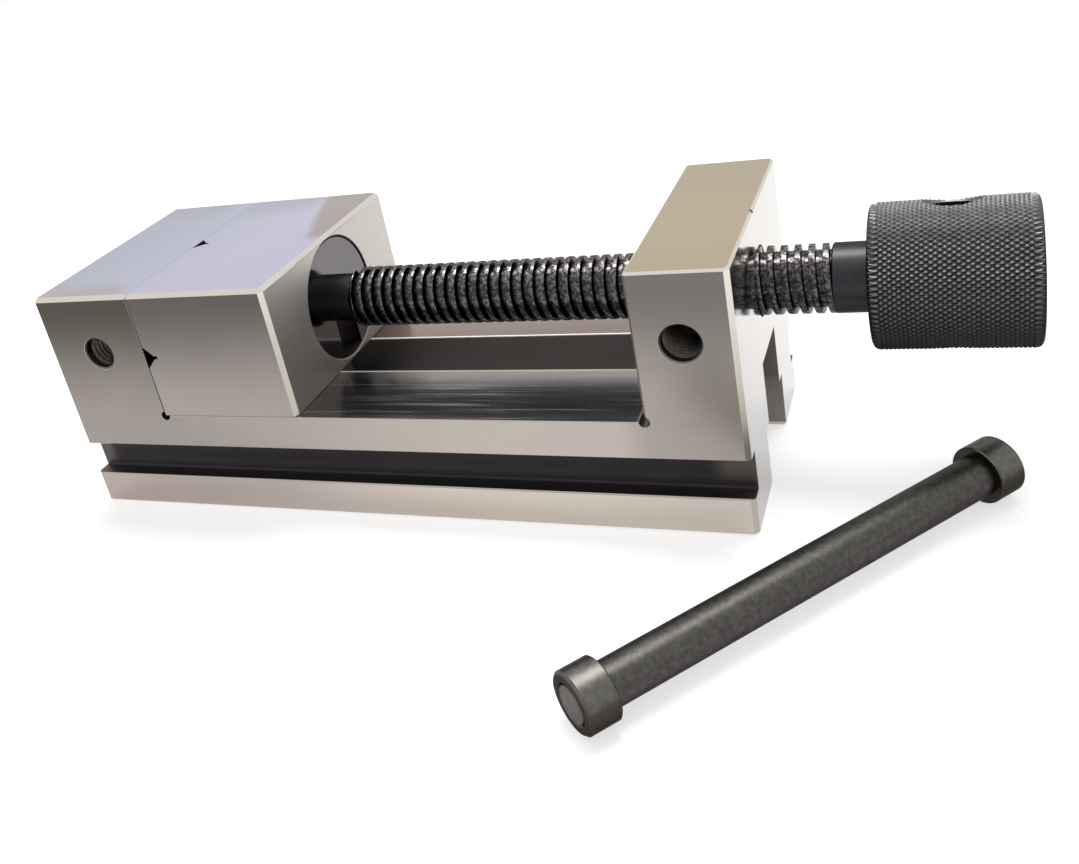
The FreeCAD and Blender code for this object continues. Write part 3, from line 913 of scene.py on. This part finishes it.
@dataclass
class LeadScrew:
    """Lead screw with its cut thread; it takes its places from the nodes round it.

    Flank is half the thread's outline: shares of half a pitch from its middle, and of its depth.
    """

    pitch: float = 2.75 * MM
    thread_depth: float = 1.3 * MM
    neck_length: float = 5.6 * MM
    neck_radius: float = 5.9 * MM
    groove_radius: float = 4.5 * MM
    groove_side_gap: float = 0.2 * MM
    journal_length: float = 7.1 * MM
    tail_radius: float = 5.5 * MM
    lead_in: float = 1.2 * MM
    seat_radius: float = 3.01 * MM
    journal_edge: float = 0.3 * MM
    journal_cover: float = 0.05 * MM
    run_in_share: float = 0.3
    flank: Profile = ((0.64, -0.3), (0.60, 0.0), (0.50, 0.80), (0.46, 0.95), (0.37, 1.0))
    steps: int = 56
    # Painted light on the upper side of the threaded part and painted shade on its lower side.
    steel: DarkSteel = DarkSteel(
        "oiled_screw_steel", (0.30, 0.275, 0.27), (0.115, 0.106, 0.118), roughness=0.16,
        mottle=0.8, oil=0.2, lumps=1300.0, lump_edge=(0.44, 0.60), grain=2200.0,
        grain_depth=0.04 * MM, turn=(0.42, 0.95))
    # Painted light on the upper side of the neck and journal and painted shade on their lower side.
    plain_steel: DarkSteel = DarkSteel(
        "wiped_screw_steel", (0.075, 0.072, 0.070), (0.042, 0.039, 0.044), roughness=0.36,
        mottle=0.15, turn=(0.42, 0.95))
    axis_height: float = field(init=False)
    radius: float = field(init=False)
    thread_begin: float = field(init=False)
    thread_end: float = field(init=False)

    def __post_init__(self) -> None:
        """Reads the screw's height and radius off its node, and the thread's ends off others."""
        self.axis_height = middle("lead_screw").z
        self.radius = half_height("lead_screw")
        self.thread_begin = ends("retainer_plate")[1] + self.neck_length
        self.thread_end = ends("knob")[0] - self.journal_length

    def build(self) -> bpy.types.Object:
        """Builds the screw in place of its node.

        Returns:
            The screw.
        """
        mesh = join([self.core(), self.thread()])
        for face in mesh.faces:
            threaded = self.thread_begin < face.calc_center_median().x < self.thread_end
            face.material_index = int(not threaded)
        bmesh.ops.translate(mesh, vec=(0, 0, self.axis_height), verts=mesh.verts)
        piece = faired(mesh, "lead_screw_threaded")
        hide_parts("lead_screw")
        # Painted shade in the thread's roots.
        root_shade = RootShade(self.axis_height, self.radius - self.thread_depth, self.radius)
        seat(piece, replace(self.steel, root_shade=root_shade).material(), Body.SCREW)
        piece.data.materials.append(self.plain_steel.material())
        return piece

    def core(self) -> bmesh.types.BMesh:
        """Turns head, groove, neck, thread root, journal and tail.

        Returns:
            The turned bmesh, on the X axis.
        """
        head, tail_end = ends("lead_screw")
        plate_begin, groove_end = ends("retainer_plate")
        groove_begin = plate_begin - self.groove_side_gap
        button_end = ends("thrust_button")[1]
        begin, end = self.thread_begin, self.thread_end
        shoulder = end + self.journal_length
        root = self.radius - self.thread_depth
        edge = self.journal_edge
        profile = [(button_end, 0), (button_end, self.seat_radius), (head, self.seat_radius),
                   (head, self.neck_radius), (groove_begin, self.neck_radius),
                   (groove_begin, self.groove_radius), (groove_end, self.groove_radius),
                   (groove_end, self.neck_radius), (begin, self.neck_radius), (begin, root),
                   (end, root), (end, self.radius - edge), (end + edge, self.radius),
                   (shoulder, self.radius), (shoulder, self.tail_radius),
                   (tail_end, self.tail_radius), (tail_end, 0)]
        return lathe(profile, FINE_STEPS)

    def thread(self) -> bmesh.types.BMesh:
        """Winds the near-square thread, cut back at its lead-in and at the journal.

        Returns:
            The wound bmesh, on the X axis.
        """
        root = self.radius - self.thread_depth
        half = self.pitch / 2
        flank = [(share * half, root + height * self.thread_depth) for share, height in self.flank]
        section = [(half - place, height) for place, height in flank]
        section += [(half + place, height) for place, height in reversed(flank)]
        turns = math.ceil((self.thread_end - self.thread_begin) / self.pitch)
        mesh = coil(section, self.pitch, turns, self.steps)
        start = self.thread_begin - self.run_in_share * self.pitch
        bmesh.ops.translate(mesh, vec=(start, 0, 0), verts=mesh.verts)
        inner = flank[0][1]
        slope = (self.radius - inner) / self.lead_in
        sunk = self.radius - self.journal_cover

        def limit(x: float) -> float:
            """The largest radius at a place along the screw."""
            leading = inner + max(0.0, x - self.thread_begin) * slope
            return min(leading, self.radius if x < self.thread_end else sunk)

        limit_radius(mesh, limit)
        return mesh


@dataclass
class Knob:
    """Knurled knob: two crossing families of rolled grooves, rounded corners and a cross hole.

    The forward lines run one way round, the backward lines the other; places and falls say where
    the mesh lines of one diamond lie and how deep, as shares of the spacing and of the depth.
    """

    starts: int = 80
    line_spacing: float = 1.6 * MM
    forward_depth: float = 0.36 * MM
    backward_depth: float = 0.24 * MM
    line_places: tuple[float, ...] = (0.0, 0.12, 0.40, 0.60, 0.88)
    line_falls: tuple[float, ...] = (1.0, 0.80, 0.0, 0.0, 0.80)
    merge_gap: float = 0.002 * MM
    chamfer: float = 1.5 * MM
    corner_turns: tuple[float, ...] = (0.6, 0.8, 1.0)
    crease: float = 14.0
    hole_flare: float = 0.6 * MM
    cutter_reach: float = 1.1
    pin_radius: float = 1.51 * MM
    root_shade_share: float = 0.75
    # Painted light on the knob's upper side and painted shade on its lower side.
    steel: DarkSteel = DarkSteel(
        "knurled_black_steel", (0.295, 0.295, 0.285), (0.036, 0.034, 0.039), roughness=0.34,
        turn=(0.12, 1.0))
    centre: Vector = field(init=False)
    radius: float = field(init=False)
    length: float = field(init=False)

    def __post_init__(self) -> None:
        """Reads the knob's place and size off its node."""
        begin, end = ends("knob")
        self.centre = middle("knob")
        self.radius = half_height("knob")
        self.length = end - begin

    def build(self) -> bpy.types.Object:
        """Builds the knob in place of its node.

        Returns:
            The knob.
        """
        mesh = self.knurled_blank()
        for cutter in (self.cross_hole(), self.tail_bore(), self.pin_hole()):
            mesh = cut(mesh, cutter)
        bmesh.ops.translate(mesh, vec=self.centre, verts=mesh.verts)
        piece = faired(mesh, "knob_knurled", self.crease)
        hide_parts("knob")
        # Painted shade in the knurl's grooves.
        root_shade = RootShade(self.centre.z, self.radius - self.forward_depth, self.radius,
                        self.root_shade_share)
        material = replace(self.steel, root_shade=root_shade).material()
        return seat(piece, material, Body.SCREW)

    def knurled_blank(self) -> bmesh.types.BMesh:
        """Rolls the knurled band and closes it with rounded corners and end faces.

        Returns:
            The closed bmesh, centred on the origin.
        """
        mesh = self.sector()
        bmesh.ops.spin(mesh, geom=[*mesh.verts, *mesh.edges, *mesh.faces], cent=(0, 0, 0),
                       axis=Axis.X.value, dvec=(0, 0, 0), steps=self.starts - 1,
                       angle=FULL_TURN * (self.starts - 1) / self.starts, use_duplicate=True)
        bmesh.ops.remove_doubles(mesh, verts=mesh.verts, dist=self.merge_gap)
        for side in (-1, 1):
            self.close_end(mesh, side)
        bmesh.ops.recalc_face_normals(mesh, faces=mesh.faces)
        return mesh

    def sector(self) -> bmesh.types.BMesh:
        """Cuts one start's width of the knurl from a diagonal lattice and rolls it up.

        Returns:
            The strip as a bmesh, at the knob's radius round the X axis.
        """
        half = self.length / 2 - self.chamfer
        width = FULL_TURN * self.radius / self.starts
        cells = math.ceil(half / self.line_spacing) + 2
        lines = 2 * cells * len(self.line_places)
        mesh = bmesh.new()
        bmesh.ops.create_grid(mesh, x_segments=lines, y_segments=lines, size=cells)
        for vert in mesh.verts:
            u, fall_u = self.lattice(vert.co.x)
            v, fall_v = self.lattice(vert.co.y)
            depth = max(fall_u * self.forward_depth, fall_v * self.backward_depth)
            vert.co = ((u - v) / 2 * self.line_spacing, (u + v) / 2 * width, -depth)
        for place, normal in (((-half, 0, 0), (-1, 0, 0)), ((half, 0, 0), (1, 0, 0)),
                              ((0, 0, 0), (0, -1, 0)), ((0, width, 0), (0, 1, 0))):
            bmesh.ops.bisect_plane(mesh, geom=[*mesh.verts, *mesh.edges, *mesh.faces],
                                   dist=TRIM_GAP, plane_co=place, plane_no=normal,
                                   clear_outer=True)
        for vert in mesh.verts:
            angle = vert.co.y / self.radius
            radius = self.radius + vert.co.z
            vert.co = (vert.co.x, -radius * math.sin(angle), radius * math.cos(angle))
        return mesh

    def lattice(self, value: float) -> Pair:
        """Moves a grid line to its place across a diamond.

        Args:
            value: The even grid line's place, in diamonds.

        Returns:
            The line's new place, and how deep it lies as a share of the groove's depth.
        """
        diamond, line = divmod(round(value * len(self.line_places)), len(self.line_places))
        return diamond + self.line_places[line], self.line_falls[line]

    def close_end(self, mesh: bmesh.types.BMesh, side: int) -> None:
        """Runs the grooves out on the rounded corner and fills the end face.

        Args:
            mesh: The open band.
            side: The end, -1 or 1 along X.
        """
        half = self.length / 2 - self.chamfer
        small = self.radius - self.chamfer
        rim = [edge for edge in mesh.edges if edge.is_boundary and edge.verts[0].co.x * side > 0]
        for vert in {vert for edge in rim for vert in edge.verts}:
            rise = math.hypot(vert.co.y, vert.co.z) - small
            vert.co.x += side * math.sqrt(max(0.0, self.chamfer ** 2 - rise ** 2))
        for turn in self.corner_turns:
            angle = turn * FULL_TURN / 4
            radius = small + self.chamfer * math.cos(angle)
            made = bmesh.ops.extrude_edge_only(mesh, edges=rim)["geom"]
            for vert in (item for item in made if isinstance(item, bmesh.types.BMVert)):
                scale = radius / math.hypot(vert.co.y, vert.co.z)
                place = side * (half + self.chamfer * math.sin(angle))
                vert.co = (place, vert.co.y * scale, vert.co.z * scale)
            rim = [item for item in made if isinstance(item, bmesh.types.BMEdge)]
        bmesh.ops.edgeloop_fill(mesh, edges=rim)

    def cross_hole(self) -> bmesh.types.BMesh:
        """Turns a cutter for the tommy bar's hole, flared at both mouths.

        Returns:
            The cutter, centred on the origin.
        """
        mounts = frame["record"]["mounts"]
        mount = next(mount for mount in mounts if mount["name"] == "knob_cross_hole")
        hole = mount["dims"]["r_mm"] * MM
        reach = self.cutter_reach * self.radius
        shoulder = math.sqrt(self.radius ** 2 - hole ** 2) - self.hole_flare
        flare = hole + reach - shoulder
        mesh = lathe([(-reach, 0), (-reach, flare), (-shoulder, hole), (shoulder, hole),
                      (reach, flare), (reach, 0)], FINE_STEPS)
        matrix = along(Vector(), Vector(mount["axis"]))
        bmesh.ops.transform(mesh, matrix=matrix, verts=mesh.verts)
        return mesh

    def tail_bore(self) -> bmesh.types.BMesh:
        """Turns a cutter for the blind bore that takes the screw's tail.

        Returns:
            The cutter, with the knob's middle at the origin.
        """
        end = ends("lead_screw")[1] - self.centre.x
        bore = LeadScrew.tail_radius + FIT_GAP
        start = -self.cutter_reach * self.length / 2
        return lathe([(start, 0), (start, bore), (end, bore), (end, 0)], BORE_STEPS)

    def pin_hole(self) -> bmesh.types.BMesh:
        """Turns a cutter for the blind hole that takes the pin from below.

        Returns:
            The cutter, with the knob's middle at the origin.
        """
        place = Vector((middle("knob_pin").x - self.centre.x, 0, 0))
        start = -self.cutter_reach * self.radius
        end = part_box("knob_pin")[1].z - self.centre.z
        mesh = lathe([(start, 0), (start, self.pin_radius), (end, self.pin_radius), (end, 0)],
                     PIN_STEPS)
        bmesh.ops.transform(mesh, matrix=along(place, Vector(Axis.Z.value)), verts=mesh.verts)
        return mesh


@dataclass
class TommyBar:
    """Loose bar with a ring riveted on each end, smooth turned in place of its nodes."""

    cap_length: float = 6.5 * MM
    cap_chamfer: float = 0.5 * MM
    rivet_radius: float = 3.6 * MM
    rivet_edge: float = 0.15 * MM
    ring_groove: float = 0.42 * MM
    ring_depth: float = 0.6 * MM
    end_facing: float = 0.9
    # Painted light on the bar's upper half and painted shade on its lower half.
    steel: DarkSteel = DarkSteel(
        "tommy_bar_steel", (0.105, 0.100, 0.090), (0.085, 0.077, 0.075), roughness=0.40,
        mottle=0.4, lumps=900.0, turn=(0.40, 0.50))
    rivet_steel: DarkSteel = DarkSteel(
        "rivet_steel", (0.20, 0.175, 0.175), (0.20, 0.175, 0.175), roughness=0.3)
    # Painted light on the rings' upper side and painted shade on their lower side.
    cap_steel: DarkSteel = DarkSteel(
        "stop_ring_steel", (0.155, 0.148, 0.130), (0.055, 0.050, 0.045), roughness=0.34,
        mottle=0.3, lumps=900.0, turn=(0.1, 0.6))

    def build(self) -> None:
        """Builds the bar and both rings."""
        near, far = middle("tommy_bar_cap_near"), middle("tommy_bar_cap_far")
        heading = (far - near).normalized()
        start = near - heading * self.cap_length / 2
        length = (far - near).length + self.cap_length
        self.rod(start, heading, length)
        material = self.cap_steel.material()
        self.cap("tommy_bar_cap_near", start, heading, material)
        self.cap("tommy_bar_cap_far", start + heading * length, -heading, material)

    def rod(self, start: Vector, heading: Vector, length: float) -> None:
        """Turns the bar with its rivet ends.

        Args:
            start: The middle of the near end face.
            heading: The bar's direction.
            length: The bar's length.
        """
        radius = half_height("tommy_bar")
        rivet = self.rivet_radius
        edge = self.rivet_edge
        cap = self.cap_length
        profile = [(0, 0), (0, rivet - edge), (edge, rivet), (cap, rivet), (cap, radius),
                   (length - cap, radius), (length - cap, rivet), (length - edge, rivet),
                   (length, rivet - edge), (length, 0)]
        mesh = lathe(profile, FINE_STEPS)
        for face in mesh.faces:
            face.material_index = int(abs(face.normal.x) > self.end_facing)
        bmesh.ops.transform(mesh, matrix=along(start, heading), verts=mesh.verts)
        piece = faired(mesh, "tommy_bar_rod")
        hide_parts("tommy_bar")
        seat(piece, self.steel.material(), Body.BAR)
        piece.data.materials.append(self.rivet_steel.material())

    def cap(self, node: str, start: Vector, inward: Vector,
            material: bpy.types.Material) -> None:
        """Turns one ring, with the fine gap that shows round the rivet.

        Args:
            node: The node that the ring stands for.
            start: The middle of the ring's outer face.
            inward: The direction from there along the bar.
            material: The ring's material.
        """
        radius = half_height(node)
        bore = self.rivet_radius + FIT_GAP
        chamfer = self.cap_chamfer
        length = self.cap_length
        profile = [(self.ring_depth, bore), (0, bore + self.ring_groove), (0, radius - chamfer),
                   (chamfer, radius), (length - chamfer / 2, radius),
                   (length, radius - chamfer / 2), (length, bore), (self.ring_depth, bore)]
        mesh = lathe(profile, FINE_STEPS)
        bmesh.ops.transform(mesh, matrix=along(start, inward), verts=mesh.verts)
        piece = faired(mesh, node + "_ring")
        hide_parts(node)
        seat(piece, material, Body.BAR)


@dataclass
class InnerPieces:
    """What stays a CAD node: retainer, nut, key, plate, pad, button and fasteners."""

    blued: DarkSteel = DarkSteel(
        "blued_retainer_steel", (0.19, 0.18, 0.19), (0.19, 0.18, 0.19), roughness=0.12,
        mottle=0.1, grain=900.0, grain_depth=0.001 * MM)
    # Painted light on faces that look up and painted shade on faces that look down.
    fastener: DarkSteel = DarkSteel(
        "black_fastener_steel", (0.06, 0.06, 0.062), (0.03, 0.03, 0.032), roughness=0.38)
    # Painted light on faces that look up and painted shade on faces that look down.
    plate: DarkSteel = DarkSteel(
        "black_plate_steel", (0.07, 0.07, 0.072), (0.05, 0.05, 0.052), roughness=0.42)
    bronze: TurnedMetal = TurnedMetal("nut_bronze", (0.55, 0.36, 0.17), 0.28)
    plain: TurnedMetal = TurnedMetal("plain_ground_steel", (0.46, 0.45, 0.43), 0.3)

    def build(self) -> None:
        """Dresses each node."""
        finishes = {
            self.blued: ("retainer_plate",),
            self.fastener: ("nut_grub_screw", "retainer_grub_screw", "hold_down_screws",
                            "knob_pin"),
            self.plate: ("hold_down_plate",),
            self.bronze: ("screw_nut",),
            self.plain: ("jaw_key", "thrust_pad", "thrust_button"),
        }
        for finish, nodes in finishes.items():
            material = finish.material()
            for node in nodes:
                dress(node, material)


# Studio


@dataclass(frozen=True)
class PhotoCamera:
    """The camera at the photograph's place, with its shifted frame; angles in degrees."""

    place: Triple = (0.18075, -0.22102, 0.14097)
    heading: float = 117.749
    fall: float = 23.083
    roll: float = -13.170
    lens_mm: float = 37.297
    sensor_mm: float = 36.0
    shift: Pair = (0.09036, -0.10012)
    near_clip: float = 0.01

    def build(self) -> None:
        """Adds the camera and makes it the scene's own."""
        data = bpy.data.cameras.new("photo_camera")
        data.lens = self.lens_mm
        data.sensor_fit = "HORIZONTAL"
        data.sensor_width = self.sensor_mm
        data.shift_x, data.shift_y = self.shift
        data.clip_start = self.near_clip
        camera = bpy.data.objects.new("photo_camera", data)
        turn = Matrix.Rotation(math.radians(self.heading) - FULL_TURN / 4, 4, "Z")
        tip = Matrix.Rotation(FULL_TURN / 4 - math.radians(self.fall), 4, "X")
        lean = Matrix.Rotation(math.radians(self.roll), 4, "Z")
        camera.matrix_world = Matrix.Translation(self.place) @ turn @ tip @ lean
        bpy.context.scene.collection.objects.link(camera)
        bpy.context.scene.camera = camera


@dataclass(frozen=True)
class SoftLight:
    """A soft white rectangular lamp that faces a point."""

    name: str
    place: Triple
    size: Pair
    power: float
    aim: Triple = (0.06, 0.0, 0.03)

    def build(self) -> None:
        """Adds the lamp."""
        data = bpy.data.lights.new(self.name, "AREA")
        data.shape = "RECTANGLE"
        data.size, data.size_y = self.size
        data.energy = self.power
        lamp = bpy.data.objects.new(self.name, data)
        facing = (Vector(self.aim) - Vector(self.place)).to_track_quat("-Z", "Y")
        lamp.matrix_world = Matrix.Translation(self.place) @ facing.to_matrix().to_4x4()
        bpy.context.scene.collection.objects.link(lamp)


@dataclass(frozen=True)
class Studio:
    """Pale floor, white surroundings and one soft lamp."""

    floor_reach: float = 6.0
    floor_colour: Colour = (0.80, 0.80, 0.80)
    floor_glow: float = 0.62
    floor_roughness: float = 0.9
    floor_gloss: float = 0.1
    sky: Colour = (0.4, 0.4, 0.4)
    lamp: SoftLight = SoftLight("overhead", (0.1, 0.45, 1.5), (1.2, 0.5), 14.0)

    def build(self) -> None:
        """Adds floor, surroundings and lamp, and keeps colours as they are written."""
        bpy.context.scene.view_settings.view_transform = "Standard"
        self.floor()
        self.surroundings()
        self.lamp.build()

    def seen_white(self, bench: NodeBench) -> Wire:
        """Tells the rays that look at the background, straight, through glass or by a mirror.

        Args:
            bench: The bench of the floor's material or of the world.

        Returns:
            One for those rays, else nought.
        """
        path = bench.node("ShaderNodeLightPath")
        camera, glossy, through = (
            Wire(bench, path.outputs[name])
            for name in ("Is Camera Ray", "Is Glossy Ray", "Is Transmission Ray"))
        return camera.math("MAXIMUM", camera, glossy.math("MAXIMUM", glossy, through))

    def floor(self) -> None:
        """Lays the floor, which glows for the camera and so shows white but for the shadow."""
        mesh = bmesh.new()
        bmesh.ops.create_grid(mesh, x_segments=2, y_segments=2, size=self.floor_reach)
        floor = faired(mesh, "floor")
        bench = NodeBench(bpy.data.materials.new("pale_floor"))
        inputs = {
            "Base Color": self.floor_colour,
            "Roughness": self.floor_roughness,
            "Specular IOR Level": self.floor_gloss,
            "Emission Color": bench.mix(self.seen_white(bench), BLACK, WHITE),
            "Emission Strength": self.floor_glow,
        }
        floor.data.materials.append(bench.finish(inputs))

    def surroundings(self) -> None:
        """Makes the world plain pale grey to light by and white to look at."""
        world = bpy.data.worlds.new("surroundings")
        bpy.context.scene.world = world
        bench = NodeBench(world)
        tone = bench.mix(self.seen_white(bench), self.sky, WHITE)
        background = bench.node("ShaderNodeBackground", {}, {"Color": tone, "Strength": 1.0})
        bench.node("ShaderNodeOutputWorld", {}, {"Surface": background.outputs[0]})


def main() -> None:
    """Builds the studio and every sub-assembly in order."""
    logging.basicConfig(level=logging.INFO, format="%(name)s: %(message)s")
    PhotoCamera().build()
    Studio().build()
    GroundBlocks().build()
    InnerPieces().build()
    LeadScrew().build()
    Knob().build()
    TommyBar().build()


if __name__ == "__main__":
    main()
